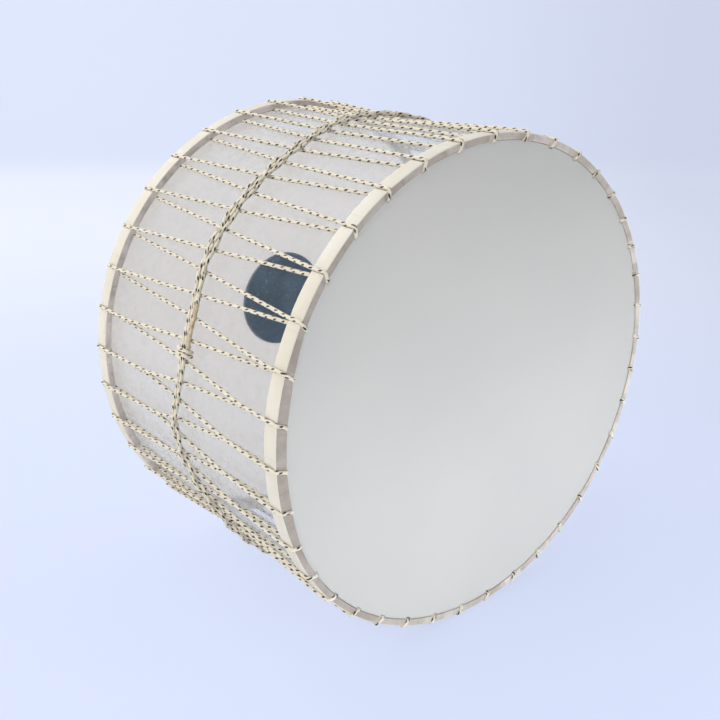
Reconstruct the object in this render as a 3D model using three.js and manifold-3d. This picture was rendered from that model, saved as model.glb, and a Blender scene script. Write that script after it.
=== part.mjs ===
// Davul drum with a clear shell, laced from hoop to hoop with one braided cord and belted round the middle.
// The drum lies on its side. Its axis runs along Y, the front head faces -Y and +Z is up.
// Lengths are in millimetres. Angles are in degrees, in the XZ plane, from +X towards +Z.
import * as THREE from 'three';
import Module from 'manifold-3d';
import { mergeVertices } from 'three/addons/utils/BufferGeometryUtils.js';

// Driving dimensions of the drum
const hoopOuterDiameter = 524;
const drumDepth = 340;
const hoopWidth = 18;
const hoopThickness = 7.5;
const shellWall = 3;

// Heads
const filmThickness = 0.6;
const headRecess = 1.5;
const hemLength = 8;

// Strip over the joint of the rolled shell sheet
const jointStripWidth = 40;
const jointStripThickness = 2;
const jointAngle = -50;
const jointStripFacets = 8;

// Cords
const cordDiameter = 3.8;
const pressedThickness = 2.8;
const pressedWidth = 5.1;
const cordGap = 0.6;
const cordSides = 5;

// How far the loops have bitten into the wood of the hoops, which gives each loop its groove
const cordBite = 1.5;
const grooveRoom = 0.65;

// Pickup on the inner face of the rear head
const pickupDiameter = 114;
const pickupThickness = 2.5;
const pickupBevel = 0.6;
const pickupPadThickness = 2;
const pickupPadRim = 1.5;
const pickupSideways = -12;
const pickupRise = 20;

// Clearances
const fit = 0.3;
const holeClearance = 0.5;
const cutOverrun = 2;

// Lacing pattern. The spacing is uneven, as a hand-laced drum's is.
const loopsPerHoop = 38;
const lowestAngle = -90;
const firstRearLoop = 10;
const unevenSpacing = { sway: -1, crowding: -2.4, wave: 1.7, twist: -0.5 };
const cornerTurns = { early: 22.5, late: 67.5 };

// The two strands of a loop run side by side for a share of the way to the belt, most of all round one angle
const pairedAngle = 200;
const pairedFromShare = 0.86;
const rearPairedShare = 0.7;
const frontPairedShare = 0.45;

// Belt. Its route is a list of angles, each with how far it strays from the middle as a share of the depth.
const beltStartLoop = 27;
const beltTurns = 2.3;
const beltRouteShares = [
  [-90, -0.02], [-20, 0.01], [40, 0.03], [90, 0.055], [118, 0.005], [144, 0.005], [158, -0.022],
  [169, -0.022], [187, 0.026], [212, -0.03], [270, -0.02],
];
const whippingTurns = 2;
const whippingBendSteps = 6;

// Radii that follow
const hoopOuter = hoopOuterDiameter / 2;
const hoopInner = hoopOuter - hoopThickness;
const hemOuter = hoopInner - fit;
const hemInner = hemOuter - filmThickness;
const grooveOuter = hoopOuter - cordBite;
const grooveInner = hoopInner + cordBite;
const shellOuter = grooveInner - fit - pressedThickness - fit;
const shellInner = shellOuter - shellWall;
const cordRadius = cordDiameter / 2;
const overHoop = grooveOuter + fit + cordRadius;
const underHoop = shellOuter + fit + pressedThickness / 2;
const onShell = shellOuter + fit + cordRadius;
const onLacing = onShell + cordDiameter + fit;

// Places along the axis that follow
const middle = drumDepth / 2;
const filmBack = headRecess + filmThickness;
const hemEnd = headRecess + hemLength;
const shellEnd = filmBack + fit;
const pastHoop = hoopWidth + cordDiameter;
const cordPitch = cordDiameter + cordGap;

// The drum stands on its lowest loops of cord, pressed flat by a tenth of the cord's diameter
const standFlat = cordDiameter / 10;
const standHeight = overHoop + cordRadius - standFlat;

// Half sizes of a cord's section, across its flat side and along it
const roundCord = [cordRadius, cordRadius];
const pressedCord = [pressedThickness / 2, pressedWidth / 2];

const fullTurn = 360;
const facetsPerTurn = 2 * loopsPerHoop;
const facetAngle = fullTurn / facetsPerTurn;
const shellFacets = 3 * loopsPerHoop;
const radians = THREE.MathUtils.degToRad;

// Angle that a length takes up round the drum at a radius
function angleOf(length, radius) {
  return THREE.MathUtils.radToDeg(length / radius);
}

function outward(degrees) {
  return new THREE.Vector3(Math.cos(radians(degrees)), 0, Math.sin(radians(degrees)));
}

// The point at a radius, an angle and a place along the axis
function around(radius, degrees, y) {
  return outward(degrees).multiplyScalar(radius).setY(y);
}

// A mesh with its own material
function piece(name, geometry, color, roughness, metalness = 0) {
  const mesh = new THREE.Mesh(geometry, new THREE.MeshStandardMaterial({ color, roughness, metalness }));
  mesh.name = name;
  return mesh;
}

// A solid of revolution about the drum's axis, from an outline of [radius, y] pairs
function turned(outline, facets = facetsPerTurn) {
  const points = outline.map(([radius, y]) => new THREE.Vector2(radius, y));
  return new THREE.LatheGeometry(points, facets);
}

function ringOutline(inner, outer, from, to) {
  return [[inner, from], [outer, from], [outer, to], [inner, to], [inner, from]];
}

// The same outline at the rear end of the drum
function atRearEnd(outline) {
  return outline.map(([radius, y]) => [radius, drumDepth - y]).reverse();
}

// Solids for cutting
const wasm = await Module();
wasm.setup();

function toSolid(geometry) {
  const bare = geometry.clone();
  bare.deleteAttribute('normal');
  bare.deleteAttribute('uv');
  const merged = mergeVertices(bare);
  const corners = merged.index.array;
  const triVerts = [];
  for (let first = 0; first < corners.length; first += 3) {
    const [a, b, c] = corners.slice(first, first + 3);
    if (a !== b && b !== c && c !== a) triVerts.push(a, b, c);
  }
  return new wasm.Manifold(new wasm.Mesh({
    numProp: 3,
    vertProperties: new Float32Array(merged.attributes.position.array),
    triVerts: new Uint32Array(triVerts),
  }));
}

function toGeometry(solid) {
  const mesh = solid.getMesh();
  const geometry = new THREE.BufferGeometry();
  geometry.setAttribute('position', new THREE.BufferAttribute(mesh.vertProperties, mesh.numProp));
  geometry.setIndex(new THREE.BufferAttribute(mesh.triVerts, 1));
  return geometry;
}

// Shell and hoops
function makeShell() {
  return turned(ringOutline(shellInner, shellOuter, shellEnd, drumDepth - shellEnd), shellFacets);
}

// A bent wooden hoop, with a groove for each loop of the lacing across its outer, end and inner faces
function makeHoop(rear) {
  const outline = ringOutline(hoopInner, hoopOuter, 0, hoopWidth);
  let hoop = toSolid(turned(rear ? atRearEnd(outline) : outline));
  for (let loop = 0; loop < loopsPerHoop; loop += 1) {
    const grooves = grooveRings(loopAngle(rear ? loop : loop + 1 / 2), rear);
    for (const rings of grooves) hoop = hoop.subtract(toSolid(tube(rings)));
  }
  return toGeometry(hoop);
}

// The strip bonded inside the shell, over the joint of its rolled sheet
function makeJointStrip() {
  const outer = shellInner - fit;
  const inner = outer - jointStripThickness;
  const half = radians(angleOf(jointStripWidth / 2, outer));
  const section = new THREE.Shape();
  section.absarc(0, 0, outer, -half, half, false);
  section.absarc(0, 0, inner, half, -half, true);
  section.closePath();
  const depth = drumDepth - 2 * (shellEnd + hemLength);
  const settings = { depth, bevelEnabled: false, curveSegments: jointStripFacets };
  const geometry = new THREE.ExtrudeGeometry(section, settings);
  geometry.rotateX(Math.PI / 2);
  geometry.translate(0, middle + depth / 2, 0);
  geometry.rotateY(-radians(jointAngle));
  return geometry;
}

// A round part of the pickup. Its bevelled face looks into the drum and its back is a gap away from the film.
function makePickupPart(radius, thickness, gapToFilm, bevel) {
  const outline = [[0, 0], [radius - bevel, 0], [radius, bevel], [radius, thickness], [0, thickness]];
  const geometry = turned(outline, loopsPerHoop);
  geometry.translate(pickupSideways, drumDepth - filmBack - gapToFilm - thickness, pickupRise);
  return geometry;
}

// A disc of film with a hem turned back inside the hoop, slotted for each loop of the lacing
function makeHead(rear) {
  const outline = [
    [0, headRecess], [hemOuter, headRecess], [hemOuter, hemEnd],
    [hemInner, hemEnd], [hemInner, filmBack], [0, filmBack],
  ];
  let film = toSolid(turned(rear ? atRearEnd(outline) : outline));
  const holeInner = shellOuter - holeClearance;
  const holeOuter = hoopInner + holeClearance;
  const holeDepth = 2 * (hemEnd + cutOverrun);
  const holeWidth = pressedWidth + 2 * holeClearance;
  for (let loop = 0; loop < loopsPerHoop; loop += 1) {
    const angle = loopAngle(rear ? loop : loop + 1 / 2) + slant;
    const hole = new THREE.BoxGeometry(holeOuter - holeInner, holeDepth, holeWidth);
    hole.translate((holeOuter + holeInner) / 2, rear ? drumDepth : 0, 0);
    hole.rotateY(-radians(angle));
    film = film.subtract(toSolid(hole));
  }
  return toGeometry(film);
}

// A closed tube through rings. A ring has its centre, the way that its flat side faces, the half sizes of its
// section and how far the section's corners are rolled round.
function tube(rings) {
  const corners = [];
  rings.forEach((ring, index) => {
    const before = rings[Math.max(index - 1, 0)].at;
    const after = rings[Math.min(index + 1, rings.length - 1)].at;
    const arriving = ring.at.clone().sub(before).normalize();
    const leaving = after.clone().sub(ring.at).normalize();
    const along = arriving.add(leaving).normalize();
    const across = new THREE.Vector3().crossVectors(along, ring.facing).normalize();
    const flat = new THREE.Vector3().crossVectors(across, along);
    const [thick, wide] = ring.half;
    for (let side = 0; side < cordSides; side += 1) {
      const turn = radians((fullTurn * side) / cordSides + ring.roll);
      const corner = ring.at.clone().addScaledVector(flat, thick * Math.cos(turn));
      corners.push(corner.addScaledVector(across, wide * Math.sin(turn)));
    }
  });
  const faces = [];
  for (let ring = 0; ring + 1 < rings.length; ring += 1) {
    for (let side = 0; side < cordSides; side += 1) {
      const a = ring * cordSides + side;
      const b = ring * cordSides + ((side + 1) % cordSides);
      faces.push(a, b, b + cordSides, a, b + cordSides, a + cordSides);
    }
  }
  const last = (rings.length - 1) * cordSides;
  for (let side = 1; side + 1 < cordSides; side += 1) {
    faces.push(0, side + 1, side);
    faces.push(last, last + side, last + side + 1);
  }
  const geometry = new THREE.BufferGeometry().setFromPoints(corners);
  geometry.setIndex(faces);
  return geometry;
}

// Measures on points the least gap between stretches of a cord that lie apart along its length
function reportLeastGap(name, rings) {
  const spacing = cordRadius / 2;
  const points = [];
  for (let index = 0; index + 1 < rings.length; index += 1) {
    const from = rings[index].at;
    const to = rings[index + 1].at;
    const count = Math.ceil(from.distanceTo(to) / spacing);
    for (let step = 0; step < count; step += 1) points.push(from.clone().lerp(to, step / count));
  }
  const apart = Math.ceil((3 * cordDiameter) / spacing);
  let least = Infinity;
  for (let i = 0; i < points.length; i += 1) {
    for (let j = i + apart; j < points.length; j += 1) {
      least = Math.min(least, points[i].distanceToSquared(points[j]));
    }
  }
  console.log(`${name}: least gap to itself ${(Math.sqrt(least) - cordDiameter).toFixed(2)} mm`);
}

// Angle of a loop, counted in spacings up from the lowest rear loop. Front loops lie at the half spacings.
function loopAngle(spacings) {
  const even = lowestAngle + (fullTurn / loopsPerHoop) * spacings;
  const a = radians(even);
  const { sway, crowding, wave, twist } = unevenSpacing;
  const drift = sway * Math.cos(a) + crowding * (Math.sin(a) + 1);
  return even + drift + wave * (Math.cos(2 * a) + 1) + twist * Math.sin(2 * a);
}

// Where a strand crosses the belt. Loops are counted here along the cord, two to a spacing.
function crossingAngle(loop) {
  return (loopAngle(loop / 2) + loopAngle((loop + 1) / 2)) / 2;
}

// The belt's place along the axis
function beltPlace(degrees) {
  const angle = THREE.MathUtils.euclideanModulo(degrees - lowestAngle, fullTurn) + lowestAngle;
  const next = beltRouteShares.findIndex(([stop]) => stop > angle);
  const [fromAngle, from] = beltRouteShares[next - 1];
  const [toAngle, to] = beltRouteShares[next];
  const blend = THREE.MathUtils.smoothstep(angle, fromAngle, toAngle);
  return middle + drumDepth * THREE.MathUtils.lerp(from, to, blend);
}

// The cord comes onto a hoop on one side of the loop's angle and leaves it on the other
const slant = angleOf(cordPitch / 2, onShell);

// One ring of the cord or of its groove. Depth counts in from the hoop's end face.
// Faces tells which way the flat side looks: 0 is outward, 90 off the drum's end and 180 towards the axis.
function ringAt(radius, depth, degrees, faces, half, rear) {
  const facing = outward(degrees).multiplyScalar(Math.cos(radians(faces)));
  facing.y = (rear ? 1 : -1) * Math.sin(radians(faces));
  if (rear) facing.negate();
  const at = around(radius, degrees, rear ? drumDepth - depth : depth);
  return { at, facing, half, roll: rear ? fullTurn / (2 * cordSides) : 0 };
}

// Over the hoop's end the cord runs straight from one side of the loop to the other
function sideOf(radius) {
  return THREE.MathUtils.mapLinear(radius, overHoop, underHoop, -1, 1);
}

// One loop round a hoop, in the order that the cord meets it
function loopStops() {
  const { early, late } = cornerTurns;
  const endGap = fit + cordRadius;
  const underGap = grooveInner - underHoop;
  const corner = (radius, depth, faces, half) => ({ radius, depth, side: sideOf(radius), faces, half });
  const outerCorner = (turn) => {
    const radius = grooveOuter + endGap * Math.cos(radians(turn));
    return corner(radius, cordBite - endGap * Math.sin(radians(turn)), turn, roundCord);
  };
  const innerCorner = (turn, half) => {
    const radius = grooveInner - underGap * Math.sin(radians(turn));
    return corner(radius, cordBite - endGap * Math.cos(radians(turn)), fullTurn / 4 + turn, half);
  };
  return [
    { radius: overHoop, depth: hoopWidth, side: -1, faces: 0, half: roundCord },
    outerCorner(early),
    outerCorner(late),
    innerCorner(early, roundCord),
    innerCorner(late, pressedCord),
    { radius: underHoop, depth: hoopWidth, side: 1, faces: fullTurn / 2, half: pressedCord },
    { radius: onShell, depth: pastHoop, side: 1, faces: fullTurn / 2, half: roundCord },
  ];
}

// The groove of one loop is three straight cuts, over the hoop, across its end face and under it
function grooveRings(degrees, rear) {
  const over = roundCord.map((half) => half + grooveRoom);
  const under = pressedCord.map((half) => half + grooveRoom);
  const onEnd = cordBite - fit - cordRadius;
  const pastBack = hoopWidth + cutOverrun;
  const along = (radius, side, faces, half) => [-cutOverrun, pastBack].map((depth) => (
    ringAt(radius, depth, degrees + side * slant, faces, half, rear)
  ));
  const across = [overHoop + cutOverrun, underHoop - cutOverrun].map((radius) => (
    ringAt(radius, onEnd, degrees + sideOf(radius) * slant, fullTurn / 4, [over[0], under[1]], rear)
  ));
  return [along(overHoop, -1, 0, over), across, along(underHoop, 1, fullTurn / 2, under)];
}

// Share of the way to the belt that the two strands of a loop run side by side
function pairShare(degrees, rear) {
  const nearness = (1 + Math.cos(radians(degrees - pairedAngle))) / 2;
  return (rear ? rearPairedShare : frontPairedShare) * THREE.MathUtils.smoothstep(nearness, pairedFromShare, 1);
}

// The whole cord, from under the belt on the far side, once round the drum and back under the belt
function lacingRings() {
  const rings = [];
  const stops = loopStops();
  const first = 2 * firstRearLoop + 1;
  const last = first + 2 * loopsPerHoop - 1;
  for (let loop = first; loop <= last; loop += 1) {
    const rear = loop % 2 === 0;
    const angle = loopAngle(loop / 2);
    const add = (radius, depth, degrees, faces, half) => {
      rings.push(ringAt(radius, depth, degrees, faces, half, rear));
    };
    const beltDepth = (degrees) => (rear ? drumDepth - beltPlace(degrees) : beltPlace(degrees));
    const share = pairShare(angle, rear);
    const pairDepth = THREE.MathUtils.lerp(pastHoop, beltDepth(angle), share);
    const rise = THREE.MathUtils.inverseLerp(beltDepth(angle), hoopWidth, pairDepth);
    const leaving = crossingAngle(loop);
    const arriving = crossingAngle(loop - 1);
    if (loop === first) add(onShell, beltDepth(arriving), arriving, 0, roundCord);
    if (share > 0) add(THREE.MathUtils.lerp(onShell, overHoop, rise), pairDepth, angle - slant, 0, roundCord);
    stops.forEach((stop) => add(stop.radius, stop.depth, angle + stop.side * slant, stop.faces, stop.half));
    if (share > 0) add(onShell, pairDepth, angle + slant, fullTurn / 2, roundCord);
    add(onShell, beltDepth(leaving) - (loop === last ? cordPitch : 0), leaving, fullTurn / 2, roundCord);
  }
  return rings;
}

// The lacing as a solid, pressed flat where the drum stands on it
function makeLacing() {
  const rings = lacingRings();
  reportLeastGap('lacing_cord', rings);
  const ground = new THREE.BoxGeometry(hoopOuterDiameter, 2 * drumDepth, cordDiameter);
  ground.translate(0, middle, -standHeight - cordDiameter / 2);
  return toGeometry(toSolid(tube(rings)).subtract(toSolid(ground)));
}

// The place along the axis of one of the belt's windings, whose strands keep their spacing where it slants
function windingPlace(degrees, turns) {
  const run = 2 * onLacing * radians(facetAngle);
  const slope = (beltPlace(degrees + facetAngle) - beltPlace(degrees - facetAngle)) / run;
  return beltPlace(degrees) + (turns - 1) * cordPitch * Math.hypot(1, slope);
}

// The belt winds over the lacing and bends where it crosses a strand
function makeBelt() {
  const rings = [];
  const crossings = 2 * loopsPerHoop;
  const steps = Math.round(beltTurns * crossings);
  for (let step = 0; step <= steps; step += 1) {
    const degrees = crossingAngle(2 * beltStartLoop - step);
    const at = around(onLacing, degrees, windingPlace(degrees, step / crossings));
    rings.push({ at, facing: outward(degrees).negate(), half: roundCord, roll: 0 });
  }
  reportLeastGap('belt_cord', rings);
  return tube(rings);
}

// The cord tied round the belt's windings where the belt starts, under them between two strands and over them
function makeWhipping() {
  const centre = loopAngle(beltStartLoop);
  const from = windingPlace(centre, 0);
  const to = windingPlace(centre, 2);
  const bend = cordDiameter + fit;
  const path = [[fullTurn / 2, (from + to) / 2]];
  for (let step = 0; step <= whippingBendSteps; step += 1) {
    path.push([(fullTurn / 2) * (1 - step / whippingBendSteps), to]);
  }
  for (let step = 0; step <= whippingBendSteps; step += 1) {
    path.push([(-fullTurn / 2) * (step / whippingBendSteps), from]);
  }
  const rings = [];
  for (let step = 0; step <= whippingTurns * path.length; step += 1) {
    const [faces, corner] = path[step % path.length];
    const turns = step / path.length - whippingTurns / 2;
    const degrees = centre + angleOf(turns * cordPitch, onLacing);
    const facing = outward(degrees).multiplyScalar(Math.cos(radians(faces)));
    facing.y = Math.sin(radians(faces));
    const at = around(onLacing, degrees, corner).addScaledVector(facing, bend);
    rings.push({ at, facing, half: roundCord, roll: 0 });
  }
  reportLeastGap('tie_whipping', rings);
  return tube(rings);
}

// The drum, with its origin on the ground below its middle
const drum = new THREE.Group();
drum.position.set(0, -middle, standHeight);
drum.add(piece('shell', makeShell(), 0xdcdee4, 0.12));
drum.add(piece('shell_joint_strip', makeJointStrip(), 0xd4d7de, 0.2));
drum.add(piece('front_head', makeHead(false), 0xc9cdd0, 0.42));
drum.add(piece('rear_head', makeHead(true), 0xc9cdd0, 0.42));
drum.add(piece('front_hoop', makeHoop(false), 0xe8e2d2, 0.55));
drum.add(piece('rear_hoop', makeHoop(true), 0xe8e2d2, 0.55));
drum.add(piece('lacing_cord', makeLacing(), 0xddd3ba, 0.85));
drum.add(piece('belt_cord', makeBelt(), 0xddd3ba, 0.85));
drum.add(piece('tie_whipping', makeWhipping(), 0xd6cab0, 0.85));
const padThickness = pickupPadThickness;
const padRadius = pickupDiameter / 2 + pickupPadRim;
drum.add(piece('pickup_pad', makePickupPart(padRadius, padThickness, fit, 0), 0x8f9aa3, 0.8));
const discGap = fit + padThickness + fit;
const disc = makePickupPart(pickupDiameter / 2, pickupThickness, discGap, pickupBevel);
drum.add(piece('pickup_disc', disc, 0x46586a, 0.35));

export default drum;
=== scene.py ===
# %% [markdown]
# # A clear davul, laced with one braided cord
# A davul is a two-headed drum. One long cord zigzags between its two wooden hoops and pulls them
# together, which stretches the heads over the shell. A second stretch of cord is belted round the
# middle to tighten the lacing. This drum has a shell of clear plastic sheet, so its inside shows,
# with a dark disc pickup on the rear head. The drum lies on its side: its axis runs along Y, the
# front head faces -Y, and +Z is up.
#
# The measured model comes first. It is loaded as a fixed frame, and everything made here has to fit
# it.

# %% Load the measured model
import math

import bpy
import numpy as np
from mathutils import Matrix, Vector


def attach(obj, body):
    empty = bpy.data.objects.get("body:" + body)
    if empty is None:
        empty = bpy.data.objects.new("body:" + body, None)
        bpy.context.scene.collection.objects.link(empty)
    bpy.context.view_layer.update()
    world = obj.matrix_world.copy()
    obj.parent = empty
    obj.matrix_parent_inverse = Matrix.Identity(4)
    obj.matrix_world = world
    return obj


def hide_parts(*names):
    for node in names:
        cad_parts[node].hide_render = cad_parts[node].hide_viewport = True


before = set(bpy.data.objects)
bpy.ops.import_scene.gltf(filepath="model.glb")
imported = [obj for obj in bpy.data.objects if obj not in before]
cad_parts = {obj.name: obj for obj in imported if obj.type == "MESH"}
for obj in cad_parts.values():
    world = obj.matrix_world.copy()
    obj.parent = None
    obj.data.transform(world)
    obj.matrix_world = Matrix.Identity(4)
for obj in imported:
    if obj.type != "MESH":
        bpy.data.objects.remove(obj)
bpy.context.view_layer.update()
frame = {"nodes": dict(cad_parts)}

nodes = frame["nodes"]
print("measured pieces:", sorted(nodes))

# %% [markdown]
# ## The camera
# The photograph was taken from the front left of the drum, a little above it. The ellipses of the
# two hoops give the whole camera: how far away it stood, how it was turned and how long its lens
# was. It goes in first, because every later decision about detail depends on what it sees.

# %% Place the camera where the photographer stood
CAMERA_PLACE = (-0.7102, -0.8255, 0.6702)
CAMERA_AZIMUTH = -39.71
CAMERA_ELEVATION = 21.20
LENS_MM = 50.57
SENSOR_MM = 36.0
DRUM_MIDDLE = (0.0, 0.0, 0.27)

lens = bpy.data.cameras.new("photo_camera")
lens.sensor_fit = "AUTO"
lens.sensor_width = SENSOR_MM
lens.lens = LENS_MM
camera = bpy.data.objects.new("photo_camera", lens)
camera.location = CAMERA_PLACE
camera.rotation_euler = (math.radians(90 - CAMERA_ELEVATION), 0, math.radians(CAMERA_AZIMUTH))
bpy.context.scene.collection.objects.link(camera)
bpy.context.scene.camera = camera
camera_distance = (Vector(CAMERA_PLACE) - Vector(DRUM_MIDDLE)).length
print("camera distance from the drum's middle:", round(camera_distance, 3), "m")

# %% [markdown]
# ## The sizes that every piece shares
# The cord, the hoops and the shell lie within a few tenths of a millimetre of each other. All of
# their radii come from one short list, the same one that the measured model was built from, so
# nothing can drift apart. One size in this list is the scene's own: over the hoop's end face the
# cord lies 2.6 mm deep instead of 1.5, as a braid that is bent sharply flattens more than the
# measured model's tube can.

# %% Write down the drum's sizes
MM = 0.001
ONE_ROUND = 2 * math.pi
HOOP_OUTER = 262 * MM
HOOP_THICKNESS = 7.5 * MM
HOOP_WIDTH = 18 * MM
DRUM_DEPTH = 340 * MM
FILM = 0.6 * MM
FILM_RECESS = 1.5 * MM
SHELL_WALL = 3 * MM
CORD = 3.8 * MM
PRESSED = (2.8 * MM, 5.1 * MM)
BITE = 1.5 * MM
END_BITE = 2.6 * MM
GAP = 0.3 * MM
CORD_GAP = 0.6 * MM
LOOPS = 38

HOOP_INNER = HOOP_OUTER - HOOP_THICKNESS
GROOVE_OUTER = HOOP_OUTER - BITE
GROOVE_INNER = HOOP_INNER + BITE
SHELL_OUTER = GROOVE_INNER - GAP - PRESSED[0] - GAP
SHELL_INNER = SHELL_OUTER - SHELL_WALL
OVER_HOOP = GROOVE_OUTER + GAP + CORD / 2
UNDER_HOOP = SHELL_OUTER + GAP + PRESSED[0] / 2
ON_SHELL = SHELL_OUTER + GAP + CORD / 2
ON_LACING = ON_SHELL + CORD + GAP
CORD_PITCH = CORD + CORD_GAP
MIDDLE = DRUM_DEPTH / 2
AXIS_HEIGHT = OVER_HOOP + CORD / 2 - CORD / 10
print("shell radius", round(SHELL_OUTER / MM, 1), "mm")
print("axis", round(AXIS_HEIGHT / MM, 1), "mm above the floor")

# %% [markdown]
# ## Two helpers for round things
# Nearly every point of a drum is given most simply by three numbers: how far it lies from the axis,
# at what angle round it, and where along it. One helper turns these into a point, or into many
# points at once. The other turns a list of points and faces into a mesh that Blender can show.

# %% Helpers for points and meshes
def around(radius, degrees, place):
    """Points by radius and angle round the axis, at a place counted from the front hoop's end."""
    angle = np.radians(degrees)
    sideways, upward = radius * np.cos(angle), radius * np.sin(angle)
    return np.stack([sideways, place - MIDDLE, AXIS_HEIGHT + upward], axis=-1)


def link_mesh(name, points, faces):
    """A new mesh object in the scene."""
    mesh = bpy.data.meshes.new(name)
    mesh.from_pydata([tuple(p) for p in points], [], [tuple(f) for f in faces])
    mesh.validate()
    mesh.polygons.foreach_set("use_smooth", [True] * len(mesh.polygons))
    thing = bpy.data.objects.new(name, mesh)
    bpy.context.scene.collection.objects.link(thing)
    return thing


highest = around(OVER_HOOP + CORD / 2, 90.0, 0.0)
print("top of a cord over the front hoop:", [round(float(v), 4) for v in highest])

# %% [markdown]
# ## A small kit for materials
# Every finish on the drum is procedural: a colour that varies over the piece, a roughness that
# varies with it, and a bump for its fine relief. A few short helpers keep each material readable as
# a list of steps.

# %% Helpers for node materials
class Finish:
    """A new material whose nodes are added one by one."""

    def __init__(self, name):
        self.material = bpy.data.materials.new(name)
        self.material.use_nodes = True
        self.tree = self.material.node_tree
        self.shader = self.tree.nodes["Principled BSDF"]
        self.output = self.tree.nodes["Material Output"]

    def add(self, kind, inputs=None, **settings):
        node = self.tree.nodes.new(kind)
        for key, value in settings.items():
            setattr(node, key, value)
        for key, value in (inputs or {}).items():
            self.feed(node.inputs[key], value)
        return node

    def feed(self, socket, value):
        if isinstance(value, bpy.types.NodeSocket):
            self.tree.links.new(value, socket)
        else:
            socket.default_value = value

    def math(self, operation, *values, clamp=False):
        node = self.add("ShaderNodeMath", operation=operation, use_clamp=clamp)
        for socket, value in zip(node.inputs, values):
            self.feed(socket, value)
        return node.outputs[0]

    def mix(self, amount, first, second):
        node = self.add("ShaderNodeMix", data_type="RGBA")
        self.feed(node.inputs[0], amount)
        self.feed(node.inputs[6], first)
        self.feed(node.inputs[7], second)
        return node.outputs[2]

    def place(self):
        return self.add("ShaderNodeTexCoord").outputs["Object"]

    def parts_of(self, vector):
        return self.add("ShaderNodeSeparateXYZ", {"Vector": vector}).outputs

    def noise(self, place, scale, detail=3.0, roughness=0.55):
        inputs = {"Vector": place, "Scale": scale, "Detail": detail, "Roughness": roughness}
        return self.add("ShaderNodeTexNoise", inputs).outputs["Fac"]

    def step_noise(self, value):
        whole = self.math("FLOOR", value)
        return self.add("ShaderNodeTexWhiteNoise", {"W": whole}, noise_dimensions="1D").outputs[0]

    def spread(self, value, low, high, to_low=0.0, to_high=1.0, way="LINEAR"):
        inputs = {"Value": value, "From Min": low, "From Max": high,
                  "To Min": to_low, "To Max": to_high}
        return self.add("ShaderNodeMapRange", inputs, interpolation_type=way).outputs[0]

    def smooth_spread(self, value, low, high, to_low=0.0, to_high=1.0):
        return self.spread(value, low, high, to_low, to_high, "SMOOTHSTEP")

    def stretch(self, place, scale):
        return self.add("ShaderNodeMapping", {"Vector": place, "Scale": scale}).outputs[0]

    def bump(self, height, strength, distance, under=None):
        inputs = {"Height": height, "Strength": strength, "Distance": distance}
        node = self.add("ShaderNodeBump", inputs)
        if under is not None:
            self.feed(node.inputs["Normal"], under)
        return node.outputs[0]

    def set(self, **values):
        for key, value in values.items():
            self.feed(self.shader.inputs[key.replace("_", " ")], value)
        return self.material

    def show_two(self, amount, first, second):
        """Shows a mixture of two shaders instead of the main shader alone."""
        mixed = self.add("ShaderNodeMixShader", {"Fac": amount})
        self.feed(mixed.inputs[1], first)
        self.feed(mixed.inputs[2], second)
        self.feed(self.output.inputs["Surface"], mixed.outputs[0])
        return self.material


def tone(red, green, blue):
    """A colour as a screen shows it, from 0 to 255, turned into the linear values that nodes take."""
    linear = []
    for part in (red, green, blue):
        share = part / 255
        linear.append(share / 12.92 if share <= 0.04045 else ((share + 0.055) / 1.055) ** 2.4)
    return (*linear, 1.0)


print("white paper as a node colour:", [round(v, 3) for v in tone(245, 245, 242)])

# %% [markdown]
# ## Where the cord runs
# The lacing is a plain zigzag: front hoop, rear hoop, front hoop, with 38 loops on each, unevenly
# spaced because it was pulled tight by hand. Each loop comes in over the hoop's outer face, turns
# over its end face, dives through a hole in the film and runs back under the hoop along the shell.
# At the lower left the two strands of a loop stay side by side for most of the way before they
# part. At the left the two ends of the front hoop's strip lap over each other, and the loops there
# reach a little further in.
#
# The route is a formula, so the belt, the holes and the strands all agree about where a crossing
# lies.

# %% Work out the loops and the belt's route
LOWEST = -90.0
FIRST_REAR_LOOP = 10
PAIRED_ANGLE = 200.0
PAIRED_FROM_SHARE = 0.86
REAR_PAIRED_SHARE = 0.7
FRONT_PAIRED_SHARE = 0.45
DRIFT_BY_HEIGHT = 2.4
DRIFT_AT_SIDES = 1.7
DRIFT_SKEW = 0.5
BELT_ROUTE_SHARES = [
    (-90, -0.02), (-20, 0.01), (40, 0.03), (90, 0.055), (118, 0.005), (144, 0.005),
    (158, -0.022), (169, -0.022), (187, 0.026), (212, -0.03), (270, -0.02),
]
LAP_WIDTH = 5.2 * MM
LAP_MIDDLE = 178.0
LAP_HALF_ANGLE = 21.0
SLANT = math.degrees(CORD_PITCH / 2 / ON_SHELL)


def loop_angle(spacings):
    """Angle of a loop, counted in spacings up from the lowest rear loop.

    Front loops lie at the half spacings. The drift, in degrees, makes the spacing uneven.
    """
    even = LOWEST + 360 / LOOPS * spacings
    a = math.radians(even)
    drift = -math.cos(a) - DRIFT_BY_HEIGHT * (math.sin(a) + 1)
    drift += DRIFT_AT_SIDES * (math.cos(2 * a) + 1) - DRIFT_SKEW * math.sin(2 * a)
    return even + drift


def crossing_angle(loop):
    """Where a strand crosses the belt. Here loops are counted along the cord, two to a spacing."""
    return (loop_angle(loop / 2) + loop_angle((loop + 1) / 2)) / 2


def smooth(value, low, high):
    """Rises gently from 0 at the low value to 1 at the high one."""
    share = min(max((value - low) / (high - low), 0.0), 1.0)
    return share * share * (3 - 2 * share)


def blend(low, high, share):
    """The value that lies a share of the way from low to high."""
    return low + (high - low) * share


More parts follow.
